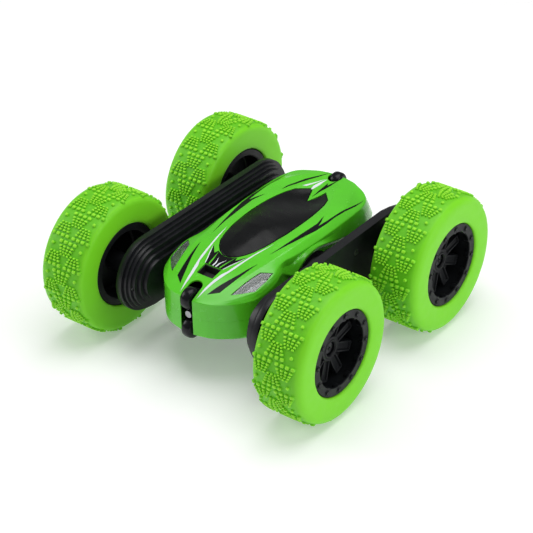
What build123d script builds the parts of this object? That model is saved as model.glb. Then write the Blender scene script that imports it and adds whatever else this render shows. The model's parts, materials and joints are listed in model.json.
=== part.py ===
from build123d import *
import math
import os

# Radio-controlled two-sided stunt car. Millimetres.
# +X is forward, +Y is left, +Z is up. The origin is on the ground below the car's centre.
# The body is the same above and below its mid-plane, which is at axle height.
# Everything on the right side is the left side turned half a turn about the vertical.

# ---- driving dimensions
AXLE_Z = 32.5            # axle height, and the outer radius of a tyre with its studs
HALF_BASE = 41.5         # half the wheelbase
WHEEL_Y = 58.0           # middle of a tyre
AXLE_END = WHEEL_Y + 3.0
TYRE_HALF = 12.0         # half the width of a tyre
TREAD_DROP = 3.0         # from the tyre's widest point to the edge of its flat tread
BORE_R = 19.3            # opening of a tyre at its face
SEAT_R = 17.9            # where the tyre's bead grips the rim
RIM_R = 19.2             # flange of the rim
AXLE_R = 1.5
RUN = 0.05               # radial clearance of a running fit

ARM_FACES = (27.5, 29.1, 30.5, 32.0, 33.5, 35.2)    # where each step of the arm's inner case starts
ARM_RADII = (9.4, 11.6, 13.9, 15.1, 16.3)           # half height of each step
ARM_SPLIT = ARM_FACES[-1]
ARM_OUT = 38.0           # outer face of the arm
ARM_OUT_R = 17.4
CAVITY = (30.6, 36.6)    # gear space inside the arm
CAVITY_R = 11.5
SUN_SPACE_R = 13.0
BOSS_END = 44.5          # end of the arm's axle boss

MODULE = 1.0             # gears in the arm
SUN_TEETH = 23
IDLER_TEETH = 20
WHEEL_TEETH = 20
ARM_GEAR = (31.2, 35.8)  # the arm's gears, across the car
IDLER_X = MODULE * (SUN_TEETH + IDLER_TEETH) / 2

FINE = 0.8               # module of the gears in the body
PINION_TEETH = 10
LARGE_TEETH = 26
SMALL_TEETH = 10
DRIVE_TEETH = 24
LAY_X = FINE * (SMALL_TEETH + DRIVE_TEETH) / 2
MOTOR_X = LAY_X + FINE * (PINION_TEETH + LARGE_TEETH) / 2
LARGE_GEAR = (15.8, 17.9)
SMALL_GEAR = (18.1, 20.0)
BACKLASH = 0.14          # taken off every tooth's width at the pitch circle
DEDENDUM = 1.25
STUB = -0.12             # addendum of the two gears that must never touch

PIN_R = 1.0
SHAFT_R = 1.0
PIVOT_R = 4.5            # arm's hollow pivot hub
PIVOT_LIP = (20.25, 21.1)
SIDE_PLATE = (21.2, 24.0)
SIDE_BAR = (9.5, 7.2)    # half length between the side plate's round ends, and their radius
SIDE_DISC_R = 10.6
FLOOR_LINK = (10.8, 13.0)
PIVOT_BOSS_END = 26.9
GEARBOX_PLATE = (14.0, 15.5)

WALL = 1.4               # shells
PACK_X = (-22.0, 14.0)   # battery pack
PACK_HALF = 8.8
PACK_Z = (-15.0, -7.4)
BAY_GAP = 0.5
BAY_DEEP = -12.3
MOTOR_WIDE = 15.5
MOTOR_TALL = 12.0
MOTOR_LONG = 20.0
FLOOR = (-7.2, -6.0)     # chassis floor, from the mid-plane
BOARD = (8.0, 9.2)

CASE_SCREWS = [(13.0, 9.7), (13.0, -9.7), (-13.0, 9.7), (-13.0, -9.7), (55.2, 0.0), (-55.2, 0.0)]
SHELL_POSTS = [(44.0, 12.0), (44.0, -12.0), (-46.0, 12.0), (-46.0, -12.0)]
DOOR_SCREW_X = -25.0
DOOR_SEAT = -13.4        # where the door's screw post meets the chassis post
BUMPER_HALF = 2.9
FRONT_BUMPER = (48.2, 55.0, 7.2, 4.9)    # root, nose, height of its round ends and their radius
REAR_BUMPER = (49.2, 53.4, 14.2, 4.4)
BUMPER_SLOTS = ((47.6, 60.0), (-60.0, -47.4))
LUG_END = 51.5
SWITCH_X = -42.5
SWITCH_TRAVEL = 2.0

# Half outlines of the body across the car, from the mid-plane up: (distance from centre, height).
BODY_SECTIONS = [
    (57.0, [(8.3, 6.5), (7.6, 7.9), (4.0, 8.6), (0.0, 8.8)]),
    (52.0, [(16.0, 7.8), (14.5, 9.2), (6.0, 10.4), (0.0, 10.6)]),
    (45.0, [(22.5, 9.0), (20.5, 11.0), (7.0, 13.0), (0.0, 13.2)]),
    (38.0, [(25.0, 10.3), (22.6, 12.2), (8.0, 14.8), (0.0, 14.6)]),
    (28.0, [(25.7, 12.0), (22.5, 14.8), (10.0, 16.0), (0.0, 16.2)]),
    (17.0, [(22.2, 13.0), (20.3, 16.0), (12.0, 17.2), (0.0, 17.6)]),
    (0.0, [(23.4, 10.5), (21.0, 17.0), (13.0, 17.8), (0.0, 18.0)]),
    (-20.0, [(24.3, 9.0), (21.4, 17.3), (13.0, 17.8), (0.0, 17.8)]),
    (-41.0, [(24.0, 9.5), (21.2, 17.3), (10.0, 17.5), (0.0, 17.6)]),
    (-52.0, [(19.0, 9.5), (14.0, 15.5), (6.0, 16.8), (0.0, 17.0)]),
    (-57.0, [(9.0, 9.5), (8.0, 12.5), (4.0, 13.5), (0.0, 13.8)]),
]
LENS_OUTLINE = [(47.0, 15.8), (39.6, 23.2), (27.0, 23.4), (30.9, 19.2)]
CANOPY_OUTLINE = [(29.5, 0.0), (28.2, 4.3), (22.5, 8.8), (11.0, 11.4), (-4.8, 12.5), (-16.0, 12.2),
                  (-27.0, 10.6), (-32.0, 9.0), (-38.0, 3.6), (-28.4, 0.0)]
# Height of the canopy's ridge above the mid-plane, from its front tip back.
CANOPY_RIDGE = [(31.0, 15.0), (18.0, 18.4), (2.0, 20.2), (-14.0, 19.4), (-30.0, 17.6), (-39.5, 15.6)]
CANOPY_ROUND = -10.0     # height of the canopy's rounding axis above the mid-plane
CANOPY_SKIRT = 12.6


# ---- helpers
def rod(x, z, radius, low, high):
    """A round bar across the car, from y = low to y = high; z is from the mid-plane."""
    return Pos(x, (low + high) / 2, AXLE_Z + z) * Rot(90, 0, 0) * Cylinder(radius, high - low)


def post(x, y, radius, low, high):
    """An upright round bar; low and high are from the mid-plane."""
    return Pos(x, y, AXLE_Z + (low + high) / 2) * Cylinder(radius, high - low)


def block(x, y, z):
    """A block from three (low, high) pairs; z is from the mid-plane."""
    size = [high - low for low, high in (x, y, z)]
    middle = [(high + low) / 2 for low, high in (x, y, z)]
    return Pos(middle[0], middle[1], middle[2] + AXLE_Z) * Box(*size)


def slab(sketch, low, high):
    """A sketch of (x, height from the mid-plane), as a plate from y = low to y = high."""
    plane = Plane(origin=(0, low, AXLE_Z), x_dir=(1, 0, 0), z_dir=(0, -1, 0))
    return extrude(plane * sketch, amount=high - low, dir=(0, 1, 0))


def stadium(half_length, radius):
    """A plate outline with round ends, centred on the pivot."""
    return SlotCenterToCenter(2 * half_length, 2 * radius)


def turned(part):
    """The same piece on the other side of the car."""
    return Rot(0, 0, 180) * part


def flipped(part):
    """The same piece on the other face of the car."""
    return mirror(part, about=Plane.XY.offset(AXLE_Z))


def joined(parts):
    """Separate solids kept as one group."""
    return Compound(children=[solid for part in parts for solid in part.solids()])


def fused(parts):
    """One solid from pieces that touch or overlap."""
    whole = parts[0]
    for part in parts[1:]:
        whole = whole + part
    return whole


def outline_face(lines):
    """A face inside lines and arcs that close end to end."""
    return make_face([edge for line in lines for edge in line.edges()])


# ---- gears
def gear_outline(teeth, module, addendum, first_tooth):
    """A spur gear. Each flank runs through its involute at the root, the middle and the tip."""
    pitch = module * teeth / 2
    base = pitch * math.cos(math.radians(20))
    root = pitch - DEDENDUM * module
    tip = pitch + addendum * module
    radii = (root, (root + tip) / 2, tip)
    half_tooth = (math.pi * module / 2 - BACKLASH) / 2 / pitch

    def involute(radius):
        angle = math.acos(min(1.0, base / radius))
        return math.tan(angle) - angle

    halves = [half_tooth + involute(pitch) - involute(radius) for radius in radii]
    points = []
    for tooth in range(teeth):
        middle = math.radians(first_tooth) + 2 * math.pi * tooth / teeth
        rising = [(radius, middle - half) for radius, half in zip(radii, halves)]
        falling = [(radius, middle + half) for radius, half in zip(radii, halves)][::-1]
        points += [(r * math.cos(a), r * math.sin(a)) for r, a in rising + falling]
    return Polygon(*points, align=None)


def gear(x, span, bore, teeth, module, addendum=1.0, first_tooth=0.0):
    """A gear on an axis across the car, with a plain bore."""
    outline = Pos(x, 0) * gear_outline(teeth, module, addendum, first_tooth)
    return slab(outline - Pos(x, 0) * Circle(bore), *span)


def half_pitch(teeth):
    return 180.0 / teeth


def sun_gear():
    """Its first tooth points forward. An odd tooth count leaves a gap pointing back."""
    return gear(0, ARM_GEAR, SHAFT_R, SUN_TEETH, MODULE)


def idler_gear(way):
    """The front idler has a gap towards the sun gear, and the rear one a tooth."""
    first = half_pitch(IDLER_TEETH) if way > 0 else 0.0
    return gear(way * IDLER_X, ARM_GEAR, PIN_R + RUN, IDLER_TEETH, MODULE, first_tooth=first)


def wheel_gear(way):
    """The front wheel gear has a tooth towards its idler's gap, and the rear one a gap."""
    first = 0.0 if way > 0 else half_pitch(WHEEL_TEETH)
    return gear(way * HALF_BASE, ARM_GEAR, AXLE_R, WHEEL_TEETH, MODULE, first_tooth=first)


# ---- wheels
def tyre(x):
    """A hollow tyre: round shoulders, flat sides and a bead on each side that grips the rim."""
    shoulder = (28.4, TYRE_HALF)
    tread = (AXLE_Z, TYRE_HALF - TREAD_DROP)
    corner_r = ((tread[0] - shoulder[0]) ** 2 + TREAD_DROP ** 2) / 2 / TREAD_DROP
    halfway = corner_r * math.sqrt(0.5)
    corner = (shoulder[0] + halfway, TYRE_HALF - corner_r + halfway)
    inner = [(AXLE_Z - 2.7, 7.8), (27.6, 9.4), (21.0, 9.0), (21.0, 6.5), (SEAT_R, 6.5)]
    inner += [(SEAT_R, 8.4), (BORE_R, 8.4), (BORE_R, TYRE_HALF - 0.8)]

    def at(point, side):
        return (point[0], WHEEL_Y + side * point[1])

    lines = [Line(at(tread, 1), at(tread, -1)), Line(at(inner[0], 1), at(inner[0], -1))]
    for side in (1, -1):
        lines.append(ThreePointArc(at(tread, side), at(corner, side), at(shoulder, side)))
        lines.append(Polyline(at(shoulder, side), *[at(point, side) for point in inner[::-1]]))
    ring = revolve(outline_face(lines), axis=Axis.Y)
    return Pos(x, 0, AXLE_Z) * ring


def rim(x):
    """One moulding: barrel, two flanges, a web, eight dished spokes, a hub and twelve studs."""
    outer, inner = WHEEL_Y + 10.8, WHEEL_Y - 11.0
    seat_out, seat_in = WHEEL_Y + 8.4, WHEEL_Y - 8.4
    web = (WHEEL_Y - 1.5, WHEEL_Y + 0.5)
    hub_in = BOSS_END + 0.7
    hub_out = WHEEL_Y + 5.4
    barrel = [(15.2, outer), (RIM_R, outer), (RIM_R, seat_out), (SEAT_R, seat_out), (SEAT_R, seat_in)]
    barrel += [(RIM_R, seat_in), (RIM_R, inner), (15.8, inner), (15.8, web[0]), (4.2, web[0])]
    barrel += [(4.2, hub_in), (AXLE_R, hub_in), (AXLE_R, AXLE_END), (3.0, AXLE_END), (3.0, hub_out)]
    barrel += [(5.4, hub_out), (5.4, web[1]), (16.2, web[1]), (16.2, outer - 2.0), (15.2, outer - 1.0)]
    body = revolve(make_face(Polyline(*barrel, close=True)), axis=Axis.Y)
    parts = [body]
    for spoke in range(8):
        bar = Pos(10.5, (web[1] + WHEEL_Y + 4.8) / 2 - 0.1, 0) * Box(11.6, 4.5, 4.0)
        parts.append(Rot(0, 45 * spoke + 22.5, 0) * bar)
    for stud in range(12):
        bolt = Pos(17.1, outer + 0.2, 0) * Rot(90, 0, 0) * Cylinder(0.9, 0.6)
        parts.append(Rot(0, 30 * stud, 0) * bolt)
    return Pos(x, 0, AXLE_Z) * fused(parts)


def axle(x):
    """A steel axle with a tapped outer end."""
    return rod(x, 0, AXLE_R, CAVITY[0] - 0.9, AXLE_END) - rod(x, 0, 0.7, AXLE_END - 6, AXLE_END)


def hub_screw(x):
    """A cross-head screw in the end of the axle."""
    head = rod(x, 0, 2.4, AXLE_END, AXLE_END + 1.2)
    cross = [block((x - 1.2, x + 1.2), (AXLE_END + 0.6, AXLE_END + 1.3), (-0.25, 0.25)),
             block((x - 0.25, x + 0.25), (AXLE_END + 0.6, AXLE_END + 1.3), (-1.2, 1.2))]
    return head + rod(x, 0, 0.7, AXLE_END - 5, AXLE_END) - fused(cross)


# ---- arms
def arm_space(low, high):
    """Where the arm's gears turn."""
    outline = stadium(HALF_BASE, CAVITY_R) + Circle(SUN_SPACE_R)
    for x, z in CASE_SCREWS[:4]:
        outline -= Pos(x, z) * Circle(1.7)
    return slab(outline, low, high)


def arm_inner_case():
    """The stepped half that faces the body, with the hollow hub that the arm turns on."""
    steps = [slab(stadium(HALF_BASE, radius), low, high)
             for radius, low, high in zip(ARM_RADII, ARM_FACES, ARM_FACES[1:])]
    hub = [rod(0, 0, PIVOT_R, PIVOT_LIP[0], ARM_FACES[0]), rod(0, 0, PIVOT_R + 0.7, *PIVOT_LIP)]
    hub.append(rod(0, 0, 9.0, PIVOT_BOSS_END + 0.4, ARM_FACES[0]))
    case = fused(steps + hub) - arm_space(CAVITY[0], ARM_SPLIT)
    case -= rod(0, 0, SHAFT_R + RUN, PIVOT_LIP[0], CAVITY[0])
    for way in (1, -1):
        case -= rod(way * IDLER_X, 0, PIN_R, CAVITY[0] - 1.0, CAVITY[0])
        case -= rod(way * HALF_BASE, 0, AXLE_R + RUN, CAVITY[0] - 1.0, CAVITY[0])
    for x, z in CASE_SCREWS:
        case -= rod(x, z, 0.7, CAVITY[0] + 0.4, ARM_SPLIT)
    return case


def arm_outer_case():
    """The flat half that faces the wheels, with an axle boss at each end."""
    case = slab(stadium(HALF_BASE, ARM_OUT_R), ARM_SPLIT, ARM_OUT)
    for way in (1, -1):
        case += rod(way * HALF_BASE, 0, 5.0, ARM_OUT, BOSS_END)
        case += rod(way * HALF_BASE, 0, 7.5, ARM_OUT, ARM_OUT + 1.5)
    case -= arm_space(ARM_SPLIT, CAVITY[1])
    for way in (1, -1):
        case -= rod(way * HALF_BASE, 0, AXLE_R + RUN, ARM_SPLIT, BOSS_END)
        case -= rod(way * IDLER_X, 0, PIN_R, CAVITY[1], CAVITY[1] + 0.8)
    case -= rod(0, 0, SHAFT_R + RUN, CAVITY[1], CAVITY[1] + 0.8)
    for x, z in CASE_SCREWS:
        case -= rod(x, z, 0.7, ARM_SPLIT, ARM_OUT)
        case -= rod(x, z, 1.6, ARM_OUT - 1.0, ARM_OUT)
    return case


def case_screws():
    """Six screws, their heads just under the arm's outer face."""
    screws = []
    for x, z in CASE_SCREWS:
        head = rod(x, z, 1.6, ARM_OUT - 1.0, ARM_OUT - 0.2)
        cross = [block((x - 0.9, x + 0.9), (ARM_OUT - 0.6, ARM_OUT), (z - 0.2, z + 0.2)),
                 block((x - 0.2, x + 0.2), (ARM_OUT - 0.6, ARM_OUT), (z - 0.9, z + 0.9))]
        screws.append(head + rod(x, z, 0.7, CAVITY[0] + 0.8, ARM_OUT - 1.0) - fused(cross))
    return joined(screws)


def idler_pins():
    return joined([rod(way * IDLER_X, 0, PIN_R, CAVITY[0] - 1.0, CAVITY[1] + 0.8) for way in (1, -1)])


def drive_shaft():
    """It runs through the arm's hollow hub, from the drive gear to the sun gear."""
    return rod(0, 0, SHAFT_R, SMALL_GEAR[0] - 0.1, CAVITY[1] + 0.6)


def drive_gear():
    """Stub teeth: the arm carries it, so its mesh with the reduction gear is left open."""
    return gear(0, SMALL_GEAR, SHAFT_R, DRIVE_TEETH, FINE, addendum=STUB)


# ---- gearbox in the body
def motor():
    """A small flat-sided can with its front bearing in the gearbox plate."""
    front = GEARBOX_PLATE[0]
    low = front - MOTOR_LONG
    outline = Circle(MOTOR_WIDE / 2) & Rectangle(MOTOR_WIDE, MOTOR_TALL)
    can = slab(Pos(MOTOR_X, 0) * outline, low, front)
    can += rod(MOTOR_X, 0, 2.5, front, front + 1.0)
    can += rod(MOTOR_X, 0, 2.5, low - 1.0, low)
    can -= rod(MOTOR_X, 0, 0.75 + RUN, front - 12.0, front + 1.0)
    return can


def motor_shaft():
    return rod(MOTOR_X, 0, 0.75, GEARBOX_PLATE[0] - 11.5, LARGE_GEAR[1] + 0.1)


def motor_pinion():
    first = half_pitch(PINION_TEETH) + 180.0
    return gear(MOTOR_X, LARGE_GEAR, 0.75, PINION_TEETH, FINE, addendum=0.9, first_tooth=first)


def reduction_gear():
    """A large and a small gear in one moulding, with a short collar between them."""
    large = gear(LAY_X, LARGE_GEAR, PIN_R + RUN, LARGE_TEETH, FINE, addendum=0.9)
    small = gear(LAY_X, SMALL_GEAR, PIN_R + RUN, SMALL_TEETH, FINE, addendum=STUB)
    collar = rod(LAY_X, 0, 2.6, LARGE_GEAR[1] - 0.1, SMALL_GEAR[0] + 0.1)
    bore = rod(LAY_X, 0, PIN_R + RUN, LARGE_GEAR[0], SMALL_GEAR[1])
    return large + small + (collar - bore)


def reduction_pin():
    return rod(LAY_X, 0, PIN_R, GEARBOX_PLATE[0], SIDE_PLATE[0] + 1.2)


# ---- body
def side_outline(gap):
    """The side plate that shows in the body's arch: a disc round the pivot on a long rounded bar."""
    length, radius = SIDE_BAR
    return stadium(length, radius + gap) + Circle(SIDE_DISC_R + gap)


def chassis_side():
    """The left gearbox plate, side plate, pivot boss and the floor's links to them."""
    plate_x = (-6.0, MOTOR_X + 9.0)
    parts = [block(plate_x, GEARBOX_PLATE, (FLOOR[0], BOARD[0]))]
    parts.append(block((MOTOR_X - 8, MOTOR_X + 8), (-8.4, -7.0), (FLOOR[0], 4.0)))
    parts.append(slab(side_outline(0), *SIDE_PLATE))
    parts.append(rod(0, 0, 8.0, SIDE_PLATE[1], PIVOT_BOSS_END))
    for way in (1, -1):
        span = sorted(way * x for x in FLOOR_LINK)
        parts.append(block(span, (19.0, SIDE_PLATE[0]), FLOOR))
    side = fused(parts)
    side -= rod(0, 0, PIVOT_R + RUN, SIDE_PLATE[0], PIVOT_BOSS_END)
    side -= rod(MOTOR_X, 0, 2.5, *GEARBOX_PLATE)
    side -= rod(MOTOR_X, 0, 2.5, -8.4, -6.0)
    side -= rod(LAY_X, 0, PIN_R, GEARBOX_PLATE[0], SIDE_PLATE[0] + 1.2)
    return side


def gear_slots():
    """Openings in the floor for the large gear and the drive gear."""
    large = block((LAY_X - 11.6, LAY_X + 11.6), (LARGE_GEAR[0] - 0.3, LARGE_GEAR[1] + 0.3), (-9, -5))
    drive = block((-10.2, 10.2), (SMALL_GEAR[0] - 0.3, 22.0), (-9, -5))
    return large + drive


def chassis():
    """Floor, end walls, tabs between the shells, battery bay and the two gearbox sides."""
    end = 38.0
    bay_x = (PACK_X[0] - BAY_GAP, PACK_X[1] + BAY_GAP)
    bay_y = PACK_HALF + BAY_GAP
    parts = [block((-end, end), (-20.2, 20.2), FLOOR)]
    for way in (1, -1):
        wall = sorted((way * (end - 1.6), way * end))
        tab = sorted((way * (end - 1.6), way * (end + 10.0)))
        parts.append(block(wall, (-20.2, 20.2), (FLOOR[0], -FLOOR[0])))
        for side in (1, -1):
            parts.append(block(tab, sorted((side * 5.0, side * 15.0)), (-0.75, 0.75)))
    outer = block((bay_x[0] - 1.2, bay_x[1] + 1.2), (-bay_y - 1.2, bay_y + 1.2), (BAY_DEEP, FLOOR[0]))
    parts.append(outer - block(bay_x, (-bay_y, bay_y), (BAY_DEEP, FLOOR[0])))
    parts.append(post(DOOR_SCREW_X, 0, 1.9, DOOR_SEAT, FLOOR[0]))
    parts += [bumper_lug(), turned(bumper_lug())]
    frame = fused(parts) - gear_slots() - turned(gear_slots())
    frame = frame + chassis_side() + turned(chassis_side())
    for x, y in SHELL_POSTS:
        frame -= post(x, y, 0.9, -1, 1)
    for way in (1, -1):
        span = sorted((way * (LUG_END - 4.0), way * LUG_END))
        frame -= Pos(sum(span) / 2, 0, AXLE_Z) * Rot(0, 90, 0) * Cylinder(0.8, 4.0)
    return frame - post(DOOR_SCREW_X, 0, 0.7, DOOR_SEAT, -8.5)


def body_volume(inset):
    """The body above its mid-plane, lofted through its sections and drawn in by inset."""
    sections = []
    floor = -1.0 if inset else 0.0
    for x, half in BODY_SECTIONS:
        station = x - math.copysign(inset, x) if x in (BODY_SECTIONS[0][0], BODY_SECTIONS[-1][0]) else x
        shrunk = [(max(y - inset, 0.0), z - inset) for y, z in half]
        right = [(shrunk[0][0], floor)] + shrunk
        left = [(-y, z) for y, z in right[-2::-1]]
        points = [(station, y, AXLE_Z + z) for y, z in right + left]
        sections.append(Wire.make_polygon(points, close=True))
    return Solid.make_loft(sections, ruled=True)


def prism(outline, low, high, mirrored=False):
    """An upright prism on an outline of (x, y)."""
    points = [(x, -y) for x, y in outline] if mirrored else outline
    return Pos(0, 0, AXLE_Z + low) * extrude(Polygon(*points, align=None), amount=high - low, dir=(0, 0, 1))


def canopy_outline():
    """The whole outline of the canopy, both halves."""
    return CANOPY_OUTLINE + [(x, -y) for x, y in CANOPY_OUTLINE[-2:0:-1]]


def canopy_dome(drop):
    """A round-backed volume, widest at the middle of the canopy."""
    ridge = [(x, AXLE_Z + z - drop) for x, z in CANOPY_RIDGE]
    axis_z = AXLE_Z + CANOPY_ROUND
    top = Spline(*[(x, 0, z) for x, z in ridge])
    ends = [(ridge[-1][0], 0, axis_z), (ridge[0][0], 0, axis_z)]
    rest = Polyline((ridge[-1][0], 0, ridge[-1][1]), *ends, (ridge[0][0], 0, ridge[0][1]))
    return revolve(outline_face([top, rest]), axis=Axis((0, 0, axis_z), (1, 0, 0)))


def canopy():
    """A blister with a skirt that drops through the shell's opening."""
    outer = prism(canopy_outline(), CANOPY_SKIRT, 24.0) & canopy_dome(0)
    inner = offset(Polygon(*canopy_outline(), align=None), amount=-1.2)
    hollow = Pos(0, 0, AXLE_Z + CANOPY_SKIRT) * extrude(inner, amount=12.0)
    return outer - (hollow & canopy_dome(1.2))


def lens_prism(side):
    return prism(LENS_OUTLINE, 5.0, 20.0, mirrored=side < 0)


def shell():
    """The upper shell, with its canopy and headlight openings, arches, bumper slots and screw posts."""
    outer = body_volume(0)
    skin = outer - body_volume(WALL)
    posts = [post(x, y, 2.3, 0.75, 17.0) & outer for x, y in SHELL_POSTS]
    skin = fused([skin] + posts)
    skin -= prism(canopy_outline(), 5.0, 24.0)
    for side in (1, -1):
        skin -= lens_prism(side)
    for low, high in ((19.0, 30.0), (-30.0, -19.0)):
        skin -= slab(side_outline(0.35), low, high)
    for span in BUMPER_SLOTS:
        skin -= block(span, (-BUMPER_HALF - 0.3, BUMPER_HALF + 0.3), (-1.0, 20.0))
    return skin


def upper_shell():
    return fused([shell()]) - joined([post(x, y, 0.9, 0.0, 6.0) for x, y in SHELL_POSTS])


def lower_shell():
    """The upper shell's twin, with screw holes right through and the switch slot."""
    skin = flipped(shell())
    for x, y in SHELL_POSTS:
        skin -= post(x, y, 0.9, -20.0, 0.0)
        skin -= post(x, y, 1.8, -20.0, -8.0)
    return skin - block((SWITCH_X - 2.2, SWITCH_X + 2.2), (-1.2, 1.2), (-20.0, -15.0))


def headlight_lenses():
    """Four clear lenses, each filling its opening."""
    skin = body_volume(0) - body_volume(WALL)
    upper = [lens_prism(side) & skin for side in (1, -1)]
    return joined(upper + [flipped(lens) for lens in upper])


def headlight_lamps():
    lamps = []
    x, y, radius, neck = 37.2, 18.4, 1.5, 9.6
    for side in (1, -1):
        dome = Pos(x, side * y, AXLE_Z + neck) * Sphere(radius)
        lamp = post(x, side * y, radius, -FLOOR[0], neck) + dome
        lamps.append(lamp)
        lamps.append(flipped(lamp))
    return joined(lamps)


def bumper_lug():
    """The chassis's front lug, which the bumper fits over."""
    return block((36.4, LUG_END), (-2.2, 2.2), (-2.0, 2.0))


def bumper(root, nose, height, radius):
    """A narrow upright bumper with a round end above and below."""
    outline = Pos((root + nose) / 2, 0) * Rectangle(nose - root, 2 * height)
    for way in (1, -1):
        outline += Pos(nose - 0.8, way * height) * Circle(radius)
    hole = Pos(nose - 4.0, 0, AXLE_Z) * Rot(0, 90, 0) * Cylinder(0.8, 8.0)
    return slab(outline, -BUMPER_HALF, BUMPER_HALF) - bumper_lug() - hole


def bumpers():
    return joined([bumper(*FRONT_BUMPER), turned(bumper(*REAR_BUMPER))])


def nose_screw(nose):
    """It goes through the bumper into the lug."""
    shank = Pos((nose + LUG_END - 4.0) / 2, 0, AXLE_Z) * Rot(0, 90, 0) * Cylinder(0.8, nose - LUG_END + 4.0)
    return shank + Pos(nose + 0.6, 0, AXLE_Z) * Rot(0, 90, 0) * Cylinder(1.6, 1.2)


def shell_screws():
    """Four long screws through the lower shell, and one in each bumper."""
    screws = []
    for x, y in SHELL_POSTS:
        screws.append(post(x, y, 0.9, -8.0, 5.0) + post(x, y, 1.75, -9.2, -8.0))
    screws += [nose_screw(FRONT_BUMPER[1]), turned(nose_screw(REAR_BUMPER[1]))]
    return joined(screws)


def battery_door():
    """The lower canopy, with a recess for its one screw."""
    whole = prism(canopy_outline(), CANOPY_SKIRT, 24.0) & canopy_dome(0)
    door = flipped(canopy()) + (post(DOOR_SCREW_X, 0, 2.6, -20.0, DOOR_SEAT) & flipped(whole))
    door -= post(DOOR_SCREW_X, 0, 0.8, -22.0, DOOR_SEAT)
    return door - post(DOOR_SCREW_X, 0, 1.7, -22.0, DOOR_SEAT - 0.6)


def door_screw():
    """It goes up into the chassis post, its head in the door's recess."""
    head = post(DOOR_SCREW_X, 0, 1.6, DOOR_SEAT - 1.5, DOOR_SEAT - 0.6)
    return head + post(DOOR_SCREW_X, 0, 0.7, DOOR_SEAT - 0.6, -9.0)


def battery_pack():
    """A flat sealed pack with rounded long edges."""
    middle = ((PACK_X[0] + PACK_X[1]) / 2, 0, AXLE_Z + (PACK_Z[0] + PACK_Z[1]) / 2)
    pack = Box(PACK_X[1] - PACK_X[0], 2 * PACK_HALF, PACK_Z[1] - PACK_Z[0])
    return Pos(*middle) * fillet(pack.edges().filter_by(Axis.X), 2.0)


def circuit_board():
    """The receiver board with its chip, crystal and battery lead socket."""
    board = block((-22.0, 22.0), (-15.3, 15.3), BOARD)
    board += block((-4.0, 4.0), (-3.0, 3.0), (BOARD[1], BOARD[1] + 1.4))
    board += block((-18.0, -10.0), (4.0, 10.0), (BOARD[1], BOARD[1] + 1.8))
    board += block((9.0, 14.0), (-9.0, -5.0), (BOARD[1], BOARD[1] + 2.6))
    return board + post(12.0, 5.0, 2.4, BOARD[1], BOARD[1] + 2.8)


def switch_body():
    """A slide switch against the inside of the lower shell."""
    case = block((SWITCH_X - 4.0, SWITCH_X + 4.0), (-3.0, 3.0), (-15.9, -11.5))
    return case - block((SWITCH_X - 2.4, SWITCH_X + 2.4), (-1.3, 1.3), (-15.9, -14.0))


def switch_knob():
    """At rest it stands at the back of its slot, which is off."""
    middle = SWITCH_X - SWITCH_TRAVEL / 2
    knob = block((middle - 1.0, middle + 1.0), (-1.0, 1.0), (-18.6, -14.2))
    return knob


# ---- everything, by node name
def wheel_nodes(corner, x, turn):
    way = 1 if x > 0 else -1
    return {
        corner + "_tyre": turn(tyre(x)),
        corner + "_rim": turn(rim(x)),
        corner + "_axle": turn(axle(x)),
        corner + "_wheel_gear": turn(wheel_gear(way)),
        corner + "_hub_screw": turn(hub_screw(x)),
    }


def side_nodes(side, front, rear, turn):
    """Nodes of one side. front and rear name the ends that lie at +x before turning."""
    nodes = wheel_nodes(side + "_" + front, HALF_BASE, turn)
    nodes.update(wheel_nodes(side + "_" + rear, -HALF_BASE, turn))
    nodes.update({
        side + "_arm_inner_case": turn(arm_inner_case()),
        side + "_arm_outer_case": turn(arm_outer_case()),
        side + "_arm_screws": turn(case_screws()),
        side + "_idler_pins": turn(idler_pins()),
        side + "_" + front + "_idler": turn(idler_gear(1)),
        side + "_" + rear + "_idler": turn(idler_gear(-1)),
        side + "_drive_shaft": turn(drive_shaft()),
        side + "_sun_gear": turn(sun_gear()),
        side + "_drive_gear": turn(drive_gear()),
        side + "_motor_shaft": turn(motor_shaft()),
        side + "_motor_pinion": turn(motor_pinion()),
        side + "_reduction_gear": turn(reduction_gear()),
    })
    return nodes


def body_nodes():
    return {
        "chassis": chassis(),
        "upper_shell": upper_shell(),
        "lower_shell": lower_shell(),
        "upper_canopy": canopy(),
        "battery_door": battery_door(),
        "battery_door_screw": door_screw(),
        "headlight_lenses": headlight_lenses(),
        "headlight_lamps": headlight_lamps(),
        "bumpers": bumpers(),
        "shell_screws": shell_screws(),
        "battery_pack": battery_pack(),
        "circuit_board": circuit_board(),
        "drive_motors": joined([motor(), turned(motor())]),
        "reduction_gear_pins": joined([reduction_pin(), turned(reduction_pin())]),
        "switch_body": switch_body(),
        "switch_knob": switch_knob(),
    }


def main():
    nodes = body_nodes()
    nodes.update(side_nodes("left", "front", "rear", lambda part: part))
    nodes.update(side_nodes("right", "rear", "front", turned))
    os.makedirs("parts", exist_ok=True)
    for name, shape in nodes.items():
        export_step(shape, f"parts/{name}.step")


main()
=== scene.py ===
import json
import math

import bmesh
import bpy
import numpy as np
from mathutils import Matrix, Vector, geometry
from mathutils.bvhtree import BVHTree


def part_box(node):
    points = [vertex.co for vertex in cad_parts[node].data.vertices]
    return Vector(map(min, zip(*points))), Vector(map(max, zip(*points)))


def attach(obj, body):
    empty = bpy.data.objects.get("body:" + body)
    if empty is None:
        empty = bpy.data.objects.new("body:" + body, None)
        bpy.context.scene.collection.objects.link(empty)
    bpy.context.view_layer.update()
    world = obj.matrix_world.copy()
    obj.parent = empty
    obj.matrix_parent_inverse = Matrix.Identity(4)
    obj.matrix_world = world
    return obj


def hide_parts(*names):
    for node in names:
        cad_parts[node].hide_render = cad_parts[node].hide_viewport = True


# A radio-controlled two-sided stunt car. Shapes are given in millimetres in the car's own frame:
# x forward, y to the left, and h up from the mid-plane, which is at axle height.

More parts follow.
